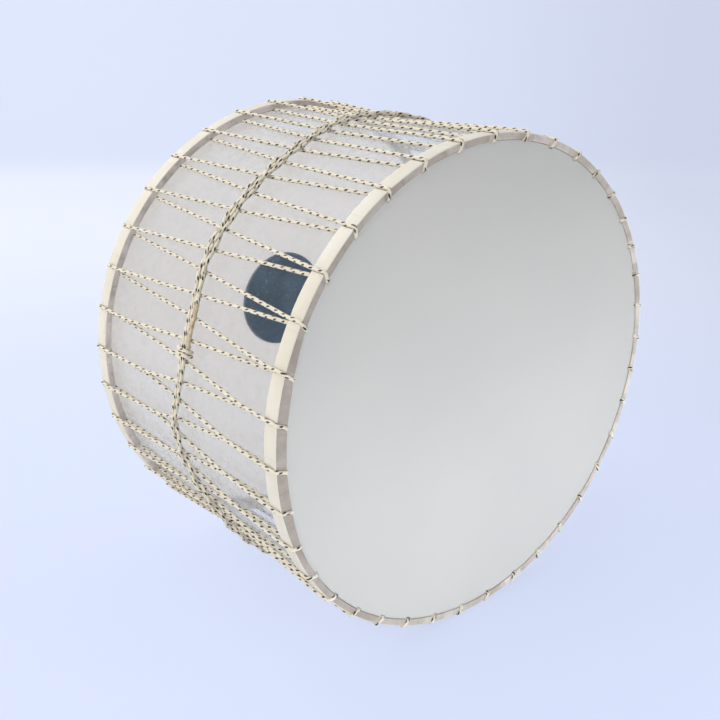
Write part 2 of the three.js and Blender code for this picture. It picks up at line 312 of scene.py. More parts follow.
def belt_place(degrees):
    """The belt's place along the axis."""
    angle = (degrees - LOWEST) % 360 + LOWEST
    for (a0, s0), (a1, s1) in zip(BELT_ROUTE_SHARES, BELT_ROUTE_SHARES[1:]):
        if angle < a1:
            return MIDDLE + DRUM_DEPTH * blend(s0, s1, smooth(angle, a0, a1))
    return MIDDLE + DRUM_DEPTH * BELT_ROUTE_SHARES[-1][1]


def pair_share(degrees, rear):
    """Share of the way to the belt that the two strands of a loop run side by side."""
    nearness = (1 + math.cos(math.radians(degrees - PAIRED_ANGLE))) / 2
    return (REAR_PAIRED_SHARE if rear else FRONT_PAIRED_SHARE) * smooth(nearness, PAIRED_FROM_SHARE, 1)


def lap_width(degrees):
    """How far the front hoop's lap stands inward of the hoop's inner face."""
    off = (degrees - LAP_MIDDLE + 180) % 360 - 180
    return LAP_WIDTH * np.exp(-(off / LAP_HALF_ANGLE) ** 4)


LOOPS_IN_VIEW = range(19, 32)
print("rear loops on the side in view:", [round(loop_angle(u)) for u in LOOPS_IN_VIEW])

# %% [markdown]
# ## Sweeping a cord
# A curve object with a bevel would be the quick way to make a cord, but its section is always round
# and its pattern can't be laid along it. Here each cord is swept as a mesh instead: rings of points
# along the route, flattened where the cord is squeezed between film and shell. Each ring knows how
# far along the cord it lies, and that length goes into a UV map, in metres. The braid and its dark
# tracer threads are later drawn from that length.

# %% Helpers that sweep a cord
CORD_SIDES = 10
CORD_STEP = 2.4 * MM
DOME_WIDTHS = np.array([0.35, 0.75, 0.94])
DOME_REACHES = np.array([1.0, 0.62, 0.25])
ROUND = (CORD / 2, CORD / 2)
SQUEEZED = (PRESSED[0] / 2, PRESSED[1] / 2)


def fill_in(stops, step):
    """Points between the stops of a route, at most a step apart.

    A stop is a centre, the way that the cord's flat side faces, and its two half sizes.
    """
    rows = []
    for (c0, f0, h0), (c1, f1, h1) in zip(stops, stops[1:]):
        count = max(1, math.ceil(float(np.linalg.norm(c1 - c0)) / step))
        for i in range(count):
            t = i / count
            rows.append((c0 + (c1 - c0) * t, f0 + (f1 - f0) * t, h0 + (h1 - h0) * t))
    rows.append(stops[-1])
    centres, facings, halves = (np.array([row[k] for row in rows]) for k in range(3))
    return centres, facings, halves


def unit(vectors):
    """The same directions, each with a length of one."""
    return vectors / np.maximum(np.linalg.norm(vectors, axis=1, keepdims=True), 1e-12)


def round_off(centres, facings, halves):
    """Adds a dome of three rings to both ends of a cord."""
    first = unit(centres[:1] - centres[1:2])
    last = unit(centres[-1:] - centres[-2:-1])
    start = centres[:1] + first * halves[0].min() * DOME_REACHES[:, None]
    stop = centres[-1:] + last * halves[-1].min() * DOME_REACHES[:, None]
    rings = len(DOME_WIDTHS)
    start_halves = halves[:1] * DOME_WIDTHS[:, None]
    stop_halves = halves[-1:] * DOME_WIDTHS[:, None]
    centres = np.concatenate([start, centres, stop[::-1]])
    halves = np.concatenate([start_halves, halves, stop_halves[::-1]])
    ends = np.repeat(facings[:1], rings, 0), np.repeat(facings[-1:], rings, 0)
    return centres, np.concatenate([ends[0], facings, ends[1]]), halves


def sweep_cord(name, centres, facings, halves):
    """A closed mesh tube with rounded ends, and its length and turn in the UV map called cord."""
    centres, facings, halves = round_off(centres, facings, halves)
    sides = CORD_SIDES
    steps = np.linalg.norm(np.diff(centres, axis=0), axis=1)
    length = np.concatenate([[0.0], np.cumsum(steps)])
    arriving = unit(np.diff(centres, axis=0, prepend=centres[:1]))
    leaving = unit(np.diff(centres, axis=0, append=centres[-1:]))
    along = unit(arriving + leaving)
    across = unit(np.cross(along, facings))
    flat = np.cross(across, along)
    turn = np.arange(sides) / sides * ONE_ROUND
    points = (centres[:, None] + flat[:, None] * (halves[:, :1] * np.cos(turn))[:, :, None]
              + across[:, None] * (halves[:, 1:] * np.sin(turn))[:, :, None]).reshape(-1, 3)

    # Four-sided faces round the tube, and one many-sided face at each end
    rings = len(centres)
    ring, side = np.meshgrid(np.arange(rings - 1), np.arange(sides), indexing="ij")
    after = (side + 1) % sides
    quads = np.stack([ring * sides + side, ring * sides + after,
                      (ring + 1) * sides + after, (ring + 1) * sides + side], axis=-1).reshape(-1, 4)
    faces = [tuple(q) for q in quads.tolist()]
    faces.append(tuple(range(sides - 1, -1, -1)))
    faces.append(tuple(range((rings - 1) * sides, rings * sides)))
    cord = link_mesh(name, points.tolist(), faces)

    # The length along the cord and the share of a turn round it
    s0, s1 = length[ring], length[ring + 1]
    v0, v1 = side / sides, (side + 1) / sides
    flat_uv = np.stack([s0, v0, s0, v1, s1, v1, s1, v0], axis=-1).reshape(-1, 2)
    ends = np.concatenate([np.full((sides, 2), [0.0, 0.5]), np.full((sides, 2), [length[-1], 0.5])])
    layer = cord.data.uv_layers.new(name="cord")
    layer.data.foreach_set("uv", np.concatenate([flat_uv, ends]).astype(np.float32).ravel())
    print(name, "length", round(float(length[-1]), 3), "m,", len(points), "points")
    return cord


print("a cord has", CORD_SIDES, "sides and a ring every", round(CORD_STEP / MM, 1), "mm or less")

# %% [markdown]
# ## The lacing
# One unbroken cord of 26 and a half metres. The sharp turns over the hoop are arcs in fine steps,
# and the long strands are straight, as taut cord is. It stands for the plain tube of the measured
# model and follows the same route, only about a millimetre deeper over the hoops' end faces.

# %% Work out the stops of one loop
STRAIGHTENS = 1.5 * MM
TOUCHES_DOWN = 2 * MM
CORNER_STEPS = 8


def side_of(radius):
    """Where the cord lies between a loop's two strands, from -1 to 1, on the hoop's end face."""
    share = (OVER_HOOP - radius) / (OVER_HOOP - UNDER_HOOP)
    return 2 * smooth(share, 0.0, 1.0) - 1


def loop_stops():
    """The stops of one loop round a hoop.

    Each has a radius, a depth in from the end face, a side of the slant, the way that the cord
    faces, its squeeze, and its share of the lap that it has to clear on the front hoop.
    """
    end_gap = GAP + CORD / 2
    under_gap = GROOVE_INNER - UNDER_HOOP
    stops = [(OVER_HOOP, HOOP_WIDTH + STRAIGHTENS, -1.0, 0.0, 0.0, 0.0),
             (OVER_HOOP, HOOP_WIDTH - TOUCHES_DOWN, -1.0, 0.0, 0.0, 0.0)]
    for turn in np.linspace(0, 90, CORNER_STEPS):
        a = math.radians(turn)
        radius = GROOVE_OUTER + end_gap * math.cos(a)
        depth = END_BITE - end_gap * math.sin(a)
        stops.append((radius, depth, side_of(radius), turn, 0.0, 0.0))
    for share in (0.25, 0.5, 0.75):
        radius = blend(GROOVE_OUTER, GROOVE_INNER, share)
        stops.append((radius, END_BITE - end_gap, side_of(radius), 90.0, 0.0, share))
    for turn in np.linspace(0, 90, CORNER_STEPS):
        a = math.radians(turn)
        radius = GROOVE_INNER - under_gap * math.sin(a)
        depth = END_BITE - end_gap * math.cos(a)
        lap_share = min(1.0, 2 - turn / 45)
        stops.append((radius, depth, side_of(radius), 90 + turn, turn / 90, lap_share))
    stops.append((UNDER_HOOP, HOOP_WIDTH, 1.0, 180.0, 1.0, 0.0))
    stops.append((ON_SHELL, HOOP_WIDTH + CORD, 1.0, 180.0, 0.0, 0.0))
    return stops


LOOP_PATH = loop_stops()
print("one loop has", len(LOOP_PATH), "stops")

# %% [markdown]
# Every loop is this one path, turned to its own angle and mirrored for the rear hoop. From a loop
# the cord runs straight to the belt, and from there to the other hoop. Where the two strands of a
# loop keep together, each of them has one more stop on its way.

# %% Sweep the lacing cord
def lacing_stops():
    """The stops of the whole lacing, loop after loop."""
    stops = []
    first = 2 * FIRST_REAR_LOOP + 1
    last = first + 2 * LOOPS - 1
    for loop in range(first, last + 1):
        rear = loop % 2 == 0
        angle = loop_angle(loop / 2)
        off_end = np.array([0.0, 1.0 if rear else -1.0, 0.0])

        def add(radius, depth, degrees, faces, squeeze):
            a = math.radians(degrees)
            outward = np.array([math.cos(a), 0.0, math.sin(a)])
            facing = outward * math.cos(math.radians(faces)) + off_end * math.sin(math.radians(faces))
            place = DRUM_DEPTH - depth if rear else depth
            half = np.array([blend(full, flat, squeeze) for full, flat in zip(ROUND, SQUEEZED)])
            stops.append((around(radius, degrees, place), -facing if rear else facing, half))

        def belt_depth(degrees):
            return DRUM_DEPTH - belt_place(degrees) if rear else belt_place(degrees)

        share = pair_share(angle, rear)
        pair_depth = blend(HOOP_WIDTH + CORD, belt_depth(angle), share)
        rise = (pair_depth - belt_depth(angle)) / (HOOP_WIDTH - belt_depth(angle))
        arriving, leaving = crossing_angle(loop - 1), crossing_angle(loop)
        if loop == first:
            add(ON_SHELL, belt_depth(arriving), arriving, 0, 0)
        if share > 0:
            add(blend(ON_SHELL, OVER_HOOP, rise), pair_depth, angle - SLANT, 0, 0)
        lap = 0.0 if rear else lap_width(angle)
        for radius, depth, side, faces, squeeze, lap_share in LOOP_PATH:
            add(radius - lap * lap_share, depth, angle + side * SLANT, faces, squeeze)
        if share > 0:
            add(ON_SHELL, pair_depth, angle + SLANT, 180, 0)
        cut_off = CORD_PITCH if loop == last else 0
        add(ON_SHELL, belt_depth(leaving) - cut_off, leaving, 180, 0)
    return stops


lacing = sweep_cord("laced_cord", *fill_in(lacing_stops(), CORD_STEP))
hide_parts("lacing_cord")
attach(lacing, "root")

# %% [markdown]
# ## The belt and its knot
# The belt goes round two and a third times. Over the top, where three windings lie together, they
# were plaited loosely as they were pulled tight. The plait is the usual one: each cord swings from
# side to side and passes over and under its neighbours, a third of a turn behind the one before. At
# the lower left only two windings lie together, and they are twisted round each other. The belt's
# cut end was melted hard and stands beside the windings, and a short whipping ties them all
# together there.

# %% Sweep the belt
BELT_START_LOOP = 27
BELT_TURNS = 2.3
PLAIT_WIDTH = 5.0 * MM
PLAIT_RISE = 1.15 * MM
PLAIT_LENGTH = 95 * MM
PLAIT_STARTS = (0.03, 0.06)
PLAIT_ENDS = (0.255, 0.295)
STEPS_PER_CROSSING = 8
CUT_END_STEPS = 5
TWISTS = 4
TWIST_WIDTH = 3.3 * MM
TWIST_RISE = 2.1 * MM
TWIST_FROM, TWIST_TO = 0.800, 0.968
TWIST_STARTS = (TWIST_FROM - 0.012, TWIST_FROM + 0.01)
TWIST_ENDS = (TWIST_TO - 0.01, TWIST_TO + 0.012)


def belt_angle(step):
    """Angle of the belt after a number of crossings, counted from its cut end."""
    low = math.floor(step)
    loop = 2 * BELT_START_LOOP - low
    return blend(crossing_angle(loop), crossing_angle(loop - 1), step - low)


def winding_place(degrees, turns):
    """Place along the axis of a winding that lies beside the one before it."""
    width = 360 / (3 * LOOPS)
    climb = belt_place(degrees + width) - belt_place(degrees - width)
    slope = climb / (2 * ON_LACING * math.radians(width))
    return belt_place(degrees) + (turns - 1) * CORD_PITCH * math.hypot(1, slope)


def outward_at(degrees):
    """The way straight out from the axis."""
    return around(1.0, degrees, 0.0) - around(0.0, degrees, 0.0)


def belt_path():
    """The stops of the belt, with its plait over the top and its twist at the lower left."""
    crossings = 2 * LOOPS
    steps = round(BELT_TURNS * crossings)
    stops = []
    for i in range(CUT_END_STEPS, steps * STEPS_PER_CROSSING + 1):
        step = i / STEPS_PER_CROSSING
        degrees = belt_angle(step)
        turns = step / crossings
        winding = math.floor(turns + 1e-9)
        part = turns - winding

        plaited = smooth(part, *PLAIT_STARTS) * (1 - smooth(part, *PLAIT_ENDS))
        run = part * ONE_ROUND * ON_LACING
        phase = ONE_ROUND * run / PLAIT_LENGTH + (winding - 1) * ONE_ROUND / 3
        place = winding_place(degrees, turns)
        swing = belt_place(degrees) + PLAIT_WIDTH * math.sin(phase)
        rise = PLAIT_RISE * (1 + math.sin(2 * phase)) * plaited

        side = 1 if winding == 1 else -1
        twisted = smooth(part, *TWIST_STARTS) * (1 - smooth(part, *TWIST_ENDS))
        turned = ONE_ROUND * TWISTS * (part - TWIST_FROM) / (TWIST_TO - TWIST_FROM)
        beside = winding_place(degrees, part + 0.5) + side * TWIST_WIDTH * math.cos(turned)
        rise += TWIST_RISE * (1 + side * math.sin(turned)) * twisted

        across = blend(blend(place, swing, plaited), beside, twisted)
        stops.append((around(ON_LACING + rise, degrees, across), -outward_at(degrees), np.array(ROUND)))
    return stops


belt = sweep_cord("belted_cord", *fill_in(belt_path(), CORD_STEP))
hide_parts("belt_cord")
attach(belt, "root")

# %% [markdown]
# The whipping goes twice round the three windings that lie side by side. Its route is a racetrack
# in section: half a turn over one side, straight across, and half a turn back under the other. Each
# turn moves on by a little more than the thickness of the cord, so that the two turns never touch.

# %% Sweep the whipping that ties the windings
WHIPPING_TURNS = 2
WHIPPING_STEP = 1.2 * MM
HALF_TURN_STEPS = 13


def whipping_path():
    """The stops of the whipping, round and round the belt's windings."""
    centre = loop_angle(BELT_START_LOOP)
    low, high = winding_place(centre, 0), winding_place(centre, 2)
    bend = CORD + GAP
    half_turn = np.linspace(0, 180, HALF_TURN_STEPS)
    path = [(180.0, (low + high) / 2)]
    path += [(180.0 - a, high) for a in half_turn]
    path += [(0.0 - a, low) for a in half_turn]
    stops = []
    for step in range(WHIPPING_TURNS * len(path) + 1):
        faces, corner = path[step % len(path)]
        turns = step / len(path) - WHIPPING_TURNS / 2
        degrees = centre + math.degrees(turns * CORD_PITCH / ON_LACING)
        outward, sideways = math.cos(math.radians(faces)), math.sin(math.radians(faces))
        facing = outward_at(degrees) * outward + np.array([0.0, sideways, 0.0])
        stops.append((around(ON_LACING, degrees, corner) + facing * bend, facing, np.array(ROUND)))
    return stops


whipping = sweep_cord("whipping_cord", *fill_in(whipping_path(), WHIPPING_STEP))
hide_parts("tie_whipping")
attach(whipping, "root")

# %% [markdown]
# ## The braided cord's finish
# The cord is a cream braid. Two dark tracer threads are braided into it, and they show as rows of
# small flecks, four rows round the cord, each row shifted half a step from the next. The product of
# two waves, one along the cord and one round it, peaks in just that pattern, so a threshold on it
# draws the flecks. The wave along the cord is sharpened first, so that the flecks stay short. The
# braid itself is two sets of slanting yarns, and at each crossing one or the other lies on top.
# Both patterns use the cord's own length, so they follow it round every bend.

# %% Make the cord's finish
FLECK_STEP = 12.5 * MM
FLECK_TWIST = 0.16
FLECK_WANDER = 1.5
FLECK_RAGGEDNESS = 0.25
FLECK_EDGE = (0.30, 0.42)
BRAID_TURN = 15 * MM
YARNS = 8


def braid_height(cord, length, turn):
    """Height of the yarns: two slanting sets, and at each crossing one of them on top."""
    lay = cord.math("MULTIPLY", length, ONE_ROUND / BRAID_TURN)
    one = cord.math("MULTIPLY", cord.math("ADD", turn, lay), YARNS / 2)
    other = cord.math("MULTIPLY", cord.math("SUBTRACT", turn, lay), YARNS / 2)
    ridge_one = cord.math("ABSOLUTE", cord.math("SINE", one))
    ridge_other = cord.math("ABSOLUTE", cord.math("SINE", other))
    cells = cord.math("ADD", cord.math("FLOOR", cord.math("DIVIDE", one, math.pi)),
                      cord.math("FLOOR", cord.math("DIVIDE", other, math.pi)))
    top = cord.math("PINGPONG", cells, 1.0)
    one_on_top = cord.math("MULTIPLY", ridge_one, top)
    other_on_top = cord.math("MULTIPLY", ridge_other, cord.math("SUBTRACT", 1.0, top))
    return cord.math("ADD", one_on_top, other_on_top)


def dark_flecks(cord, length, turn, fibre):
    """Where the dark tracer threads show, as a mask."""
    slow_inputs = {"W": cord.math("MULTIPLY", length, 55.0), "Scale": 1.0, "Detail": 1.0}
    slow = cord.add("ShaderNodeTexNoise", slow_inputs, noise_dimensions="1D").outputs["Fac"]
    wander = cord.math("MULTIPLY", cord.math("SUBTRACT", slow, 0.5), FLECK_WANDER)
    leaning = cord.math("ADD", cord.math("MULTIPLY", length, ONE_ROUND / FLECK_STEP), turn)
    along = cord.math("COSINE", cord.math("ADD", leaning, wander))
    short = cord.math("MULTIPLY", along, cord.math("ABSOLUTE", along))
    twist = cord.math("MULTIPLY", length, ONE_ROUND / FLECK_TWIST)
    around_it = cord.math("COSINE", cord.math("ADD", cord.math("MULTIPLY", turn, 2.0), twist))
    peaks = cord.math("MULTIPLY", short, around_it)
    rough = cord.math("MULTIPLY", cord.math("SUBTRACT", fibre, 0.5), FLECK_RAGGEDNESS)
    return cord.smooth_spread(cord.math("ADD", peaks, rough), *FLECK_EDGE)


def make_cord_finish(name, light, shade):
    """The finish of all three cords, drawn from their UV map."""
    cord = Finish(name)
    parts = cord.parts_of(cord.add("ShaderNodeUVMap", uv_map="cord").outputs[0])
    length = parts[0]
    turn = cord.math("MULTIPLY", parts[1], ONE_ROUND)
    height = braid_height(cord, length, turn)
    place = cord.place()
    fibre = cord.noise(place, 2600.0, 2.0)
    patches = cord.noise(place, 34.0, 3.0)

    # Cream yarns, painted shade in their valleys, worn patches, painted highlights on stray fibres
    colour = cord.mix(cord.smooth_spread(height, 0.08, 0.75), shade, light)
    colour = cord.mix(cord.spread(patches, 0.45, 0.75, 0.0, 0.3), colour, tone(207, 194, 168))
    colour = cord.mix(cord.spread(fibre, 0.3, 0.7, 0.0, 0.16), colour, tone(240, 232, 214))
    colour = cord.mix(dark_flecks(cord, length, turn, fibre), colour, tone(30, 26, 25))

    relief = cord.bump(height, 0.55, 0.35 * MM, cord.bump(fibre, 0.25, 0.12 * MM))
    return cord.set(Base_Color=colour, Roughness=cord.spread(fibre, 0.3, 0.7, 0.72, 0.92), Normal=relief,
                    Sheen_Weight=0.25, Sheen_Roughness=0.5)


braid = make_cord_finish("braided_cord", tone(235, 227, 208), tone(182, 168, 143))
for cord_piece in (lacing, belt, whipping):
    cord_piece.data.materials.append(braid)
print("cord finish has", len(braid.node_tree.nodes), "nodes")

# %% [markdown]
# The belt's cut end was held in a flame until it melted, so it doesn't fray. The plastic there ran
# together, lost its tracer flecks and turned amber brown. A second material on the first few
# centimetres of the belt shows that, blotched and finely grained where the yarns melted.

# %% Give the belt its melted end
MELTED_LENGTH = 47 * MM

melted = Finish("melted_cord_end")
melt_place = melted.place()
melt_blotch = melted.noise(melt_place, 160.0, 3.0)
melt_fine = melted.noise(melted.stretch(melt_place, (700.0, 700.0, 140.0)), 1.0, 2.0)
melt_amber = melted.spread(melt_blotch, 0.35, 0.7)
melt_colour = melted.mix(melt_amber, tone(212, 198, 172), tone(172, 142, 108))
melt_gloss = melted.spread(melt_blotch, 0.3, 0.7, 0.35, 0.6)
melt_relief = melted.bump(melt_fine, 0.5, 0.3 * MM)
melted.set(Base_Color=melt_colour, Roughness=melt_gloss, Normal=melt_relief, Coat_Weight=0.15)
belt.data.materials.append(melted.material)
belt_uv = np.zeros(len(belt.data.loops) * 2, np.float32)
belt.data.uv_layers["cord"].data.foreach_get("uv", belt_uv)
starts = np.array([p.loop_start for p in belt.data.polygons])
in_melt = belt_uv.reshape(-1, 2)[starts, 0] < MELTED_LENGTH
belt.data.polygons.foreach_set("material_index", in_melt.astype(np.int32))
print("melted faces:", int(in_melt.sum()))

# %% [markdown]
# ## The hoops
# Each hoop is a strip of pale wood bent into a ring. Its outer face is smooth and cream. Its end
# faces show the edge of the wood, grey-brown with stains from handling, with painted shade at the
# front hoop's left, and with a change of tone wherever one length of strip meets the next. Under
# tension every loop of cord has bitten a groove into the wood, over the outer face, across the end
# face at a slant and back under the hoop, and the wood around it has given way a little too.
#
# Cutting 38 grooves with a Boolean leaves hard edges and broken shading. Here the section is turned
# round the axis in steps that crowd together at each loop, and its points are pushed in by the
# groove's own profile. The rings shear to follow the slant, so every groove stays clean. On the
# front hoop the lap is a lip in the same section: its inner corner moves inward at the left, so the
# end face is nearly twice as wide there.

# %% Draw the hoop's section and place its rings
HOOP_EDGE = 0.8 * MM
EDGE_STEPS = 5
BACK_FACE_CORNER = 2 * EDGE_STEPS - 1
LIP_CORNER = 3 * EDGE_STEPS
LIP_RISE = 0.1 * MM
INWARD = 180
STEPS_FROM_LOOP = (0.0, 0.45, 0.9, 1.3, 1.65, 1.9, 2.05, 2.2, 2.6, 3.0, 3.6, 4.6, 6.5)
STEP_BETWEEN_LOOPS = 0.5


def hoop_section():
    """Points of the section: radius, depth, and the way that a groove pushes each of them."""
    rows = []
    quarter = np.linspace(0, 90, EDGE_STEPS)
    far, near = HOOP_OUTER - HOOP_EDGE, HOOP_INNER + HOOP_EDGE
    centres = [(far, HOOP_EDGE, 270), (far, HOOP_WIDTH - HOOP_EDGE, 0),
               (near, HOOP_WIDTH - HOOP_EDGE, 90), (near, HOOP_EDGE, INWARD)]
    for radius, depth, start in centres:
        if start == INWARD:
            rows.append((HOOP_INNER, FILM_RECESS - LIP_RISE, 1.0, 0.0))
        for a in np.radians(start + quarter):
            out, off = math.cos(a), math.sin(a)
            if depth > HOOP_EDGE:
                side = radius - HOOP_INNER - HOOP_THICKNESS / 2
                push = (-math.copysign(0.3 + 0.7 * out * out, side), 0.0)
            else:
                push = (-out, -off * END_BITE / BITE)
            rows.append((radius + HOOP_EDGE * out, depth + HOOP_EDGE * off, *push))
    for share in (0.25, 0.5, 0.75):
        rows.append((blend(near, far, share), 0.0, 0.0, END_BITE / BITE))
    return np.array(rows)


def hoop_degrees(loops):
    """Angles of the hoop's rings, close together at each loop and wider apart between two loops."""
    near = np.degrees(np.array(STEPS_FROM_LOOP) * MM / HOOP_OUTER)
    near = np.concatenate([-near[:0:-1], near])
    degrees = []
    for loop, after in zip(loops, [*loops[1:], loops[0] + 360]):
        degrees.extend(loop + near)
        start, stop = loop + near[-1], after + near[0]
        count = math.ceil((stop - start) / STEP_BETWEEN_LOOPS)
        degrees.extend(np.linspace(start, stop, count + 1)[1:-1])
    return np.array(degrees)


HOOP_SECTION = hoop_section()
print("the hoop's section has", len(HOOP_SECTION), "points")

# %% [markdown]
# A groove is a round channel inside a wider, shallow hollow, where the wood has given way. Its depth
# follows from each ring's distance to the nearest loop. Two slow waves round the hoop make the strip
# a little uneven, as bent wood is.

# %% Turn the hoops
GROOVE_HALF_WIDTHS = (2.15 * MM, 3.0 * MM)
GIVE_DEPTH = 0.42 * MM
GIVE_REACH = 5.5 * MM
SLANTED_TO = 3 * MM
STRAIGHT_AGAIN_AFTER = 9 * MM
LONG_LUMPS, SHORT_LUMPS = (0.22 * MM, 3), (0.12 * MM, 17)
LUMPS_DOWN = 0.1 * MM


def press_in(across, sides):
    """How deep the wood is pressed at a distance from a loop: a round groove in a shallow hollow."""
    half_width = np.where(sides > 0.9, GROOVE_HALF_WIDTHS[1], GROOVE_HALF_WIDTHS[0])
    groove = BITE * np.sqrt(np.clip(1 - (across[:, None] / half_width[None]) ** 2, 0, 1))
    give = GIVE_DEPTH * np.exp(-(across / GIVE_REACH) ** 2)[:, None]
    return np.maximum(groove, give)


def lumps_of(degrees, rear):
    """The small unevenness of a strip that was bent by hand."""
    a = np.radians(degrees)
    long_phase, short_phase = (1.1, 0.4) if rear else (0.2, 2.0)
    lumps = LONG_LUMPS[0] * np.sin(a * LONG_LUMPS[1] + long_phase)
    return lumps + SHORT_LUMPS[0] * np.sin(a * SHORT_LUMPS[1] + short_phase) - LUMPS_DOWN


def hoop_points(degrees, loops, rear):
    """The hoop's rings, sheared so that its grooves follow the slant of the cord."""
    radii, depths = HOOP_SECTION[:, 0], HOOP_SECTION[:, 1]
    offsets = (degrees[:, None] - loops[None] + 180) % 360 - 180
    nearest = offsets[np.arange(len(degrees)), np.abs(offsets).argmin(axis=1)]
    across = np.abs(np.radians(nearest)) * HOOP_OUTER
    sheared = 1 - np.clip((across - SLANTED_TO) / STRAIGHT_AGAIN_AFTER, 0, 1)
    sheared = sheared * sheared * (3 - 2 * sheared)
    middle = HOOP_INNER + HOOP_THICKNESS / 2
    sides = np.array([side_of(r) if d <= HOOP_EDGE else math.copysign(1.0, middle - r)
                      for r, d in zip(radii, depths)])
    pressed = press_in(across, sides)
    outer = (radii - HOOP_INNER) / HOOP_THICKNESS
    lap = 0.0
    if not rear:
        inner_share = np.where(np.arange(len(radii)) > LIP_CORNER, 1 - outer, 0.0)
        lap = lap_width(degrees)[:, None] * inner_share[None]
    lumps = lumps_of(degrees, rear)[:, None] * outer[None]
    radius = radii[None] + pressed * HOOP_SECTION[None, :, 2] + lumps - lap
    depth = depths[None] + pressed * HOOP_SECTION[None, :, 3]
    angle = degrees[:, None] + sides[None] * SLANT * sheared[:, None]
    return around(radius, angle, DRUM_DEPTH - depth if rear else depth).reshape(-1, 3)


def make_hoop(name, rear):
    """One hoop as a closed ring, with its length and section in the UV map called strip."""
    loops = np.array([loop_angle(u + (0 if rear else 0.5)) for u in range(LOOPS)])
    degrees = hoop_degrees(loops)
    points = hoop_points(degrees, loops, rear)
    rings, count = len(degrees), len(HOOP_SECTION)
    ring, corner = np.meshgrid(np.arange(rings), np.arange(count), indexing="ij")
    ring_after, corner_after = (ring + 1) % rings, (corner + 1) % count
    here, there = ring * count, ring_after * count
    quads = np.stack([here + corner, here + corner_after, there + corner_after, there + corner],
                     axis=-1).reshape(-1, 4)
    if not rear:
        quads = quads[:, ::-1]
    hoop = link_mesh(name, points.tolist(), quads.tolist())

    # The length round the strip and the distance round its section
    arc = np.radians(np.append(degrees, degrees[0] + 360)) * HOOP_OUTER
    outline = HOOP_SECTION[:, :2]
    steps = np.linalg.norm(np.diff(outline, axis=0, append=outline[:1]), axis=1)
    along = np.concatenate([[0.0], np.cumsum(steps)])
    u0, u1, v0, v1 = arc[ring], arc[ring + 1], along[corner], along[corner + 1]
    corners = [(u0, v0), (u0, v1), (u1, v1), (u1, v0)]
    if not rear:
        corners = corners[::-1]
    flat = np.stack([value for pair in corners for value in pair], axis=-1).reshape(-1, 2)
    layer = hoop.data.uv_layers.new(name="strip")
    layer.data.foreach_set("uv", flat.astype(np.float32).ravel())

    # The end face with its lip, and the back face, take the second material
    on_end = ((corner == BACK_FACE_CORNER) | (corner >= LIP_CORNER)).reshape(-1)
    hoop.data.polygons.foreach_set("material_index", on_end.astype(np.int32))
    print(name, "points:", len(points), "end faces:", int(on_end.sum()))
    return hoop


front_hoop = make_hoop("front_hoop_strip", False)
rear_hoop = make_hoop("rear_hoop_strip", True)
for hoop_piece, hoop_node in ((front_hoop, "front_hoop"), (rear_hoop, "rear_hoop")):
    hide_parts(hoop_node)
    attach(hoop_piece, "root")

# %% [markdown]
# Two finishes share the hoop. The cream face has long faint grain and a satin coat. The end faces
# are rougher and darker, and their tone steps from strip to strip. The steps come from white noise
# on the whole number of strips counted round the hoop. Painted shade darkens the front hoop's end
# face towards the left. The rear hoop's end face lies in shade, so its pale tones are painted light.

# %% Finish the hoops
FACE_STRIP_LENGTH = 0.117
END_STRIP_LENGTH = 0.029


def make_hoop_face():
    wood = Finish("hoop_cream_face")
    strip = wood.add("ShaderNodeUVMap", uv_map="strip").outputs[0]
    grain = wood.noise(wood.stretch(strip, (26.0, 900.0, 1.0)), 1.0, 4.0, 0.6)
    patches = wood.noise(wood.place(), 14.0, 3.0)
    strips = wood.math("MULTIPLY", wood.parts_of(strip)[0], 1 / FACE_STRIP_LENGTH)
    step = wood.step_noise(strips)
    seam = wood.smooth_spread(wood.math("FRACT", strips), 0.0, 0.035, 1.0, 0.0)
    cream = wood.mix(wood.spread(patches, 0.35, 0.7), tone(217, 214, 203), tone(207, 201, 187))
    cream = wood.mix(wood.spread(step, 0, 1, 0.0, 0.35), cream, tone(214, 206, 188))
    cream = wood.mix(wood.spread(grain, 0.45, 0.75, 0.0, 0.28), cream, tone(198, 184, 162))
    colour = wood.mix(wood.math("MULTIPLY", seam, 0.12), cream, tone(176, 160, 140))
    relief = wood.bump(grain, 0.25, 0.15 * MM, wood.bump(seam, 0.6, -0.06 * MM))
    return wood.set(Base_Color=colour, Roughness=wood.spread(grain, 0.3, 0.7, 0.42, 0.6), Normal=relief)


def make_hoop_end(name, pale, dark, painted_shade_at_left):
    wood = Finish(name)
    strip = wood.add("ShaderNodeUVMap", uv_map="strip").outputs[0]
    place = wood.place()
    strips = wood.math("MULTIPLY", wood.parts_of(strip)[0], 1 / END_STRIP_LENGTH)
    jitter = wood.math("MULTIPLY", wood.noise(place, 20.0, 1.0), 1.2)
    strips = wood.math("ADD", strips, jitter)
    step = wood.step_noise(strips)
    seam = wood.smooth_spread(wood.math("FRACT", strips), 0.0, 0.06, 1.0, 0.0)
    layers = wood.noise(wood.stretch(strip, (30.0, 1500.0, 1.0)), 1.0, 3.0)
    stain = wood.noise(place, 55.0, 4.0, 0.65)
    base = wood.mix(wood.spread(step, 0, 1, 0.0, 1.0), pale, dark)
    base = wood.mix(wood.spread(stain, 0.42, 0.68, 0.0, 0.55), base, tone(136, 119, 108))
    base = wood.mix(wood.spread(layers, 0.45, 0.7, 0.0, 0.35), base, tone(204, 196, 184))
    # Painted shade: the end face darkens towards the left, by the share given
    painted_shade_to_left = wood.smooth_spread(wood.parts_of(place)[0], 0.05, -0.22, 0.0, painted_shade_at_left)
    base = wood.mix(painted_shade_to_left, base, tone(136, 124, 114))
    colour = wood.mix(wood.math("MULTIPLY", seam, 0.25), base, tone(118, 102, 90))
    relief = wood.bump(layers, 0.4, 0.2 * MM, wood.bump(seam, 0.6, -0.3 * MM))
    return wood.set(Base_Color=colour, Roughness=wood.spread(stain, 0.3, 0.7, 0.6, 0.85), Normal=relief)


